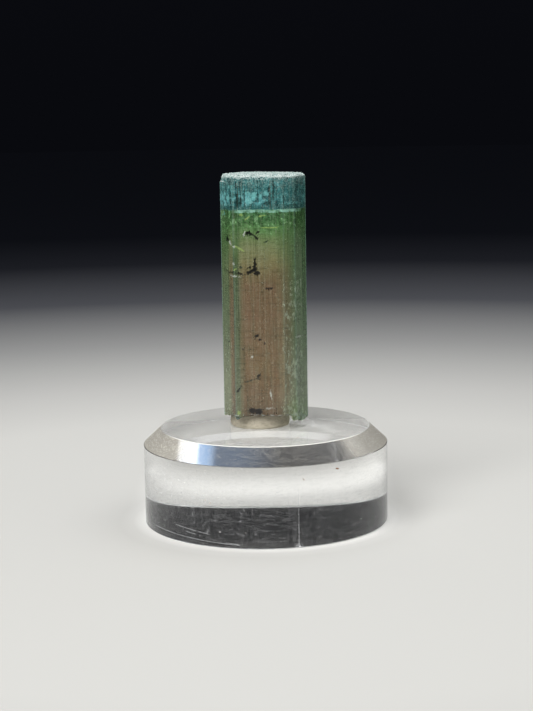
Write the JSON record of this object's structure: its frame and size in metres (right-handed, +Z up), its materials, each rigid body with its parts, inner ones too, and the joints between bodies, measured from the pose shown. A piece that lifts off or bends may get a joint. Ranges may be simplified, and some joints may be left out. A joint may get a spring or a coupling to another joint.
{
  "type": "tourmaline crystal specimen",
  "caption": "Upright tourmaline prism, teal over green over a brown-pink core, held by a pad of mineral tack on a round bevelled clear stand.",
  "frame": {"origin": "centre of the stand's underside, on the surface that it stands on", "axes": "+Z up along the crystal, -Y towards the broad flat face that is usually looked at, +X to its right"},
  "size_m": [0.0318, 0.0318, 0.045],
  "materials": {
    "clear_acrylic": "polished",
    "tack_putty": "matte",
    "tourmaline": "gloss"
  },
  "bodies": {
    "root": {"acrylic_base": "clear_acrylic", "mineral_tack": "tack_putty", "tourmaline_crystal": "tourmaline"}
  },
  "joints": []
}
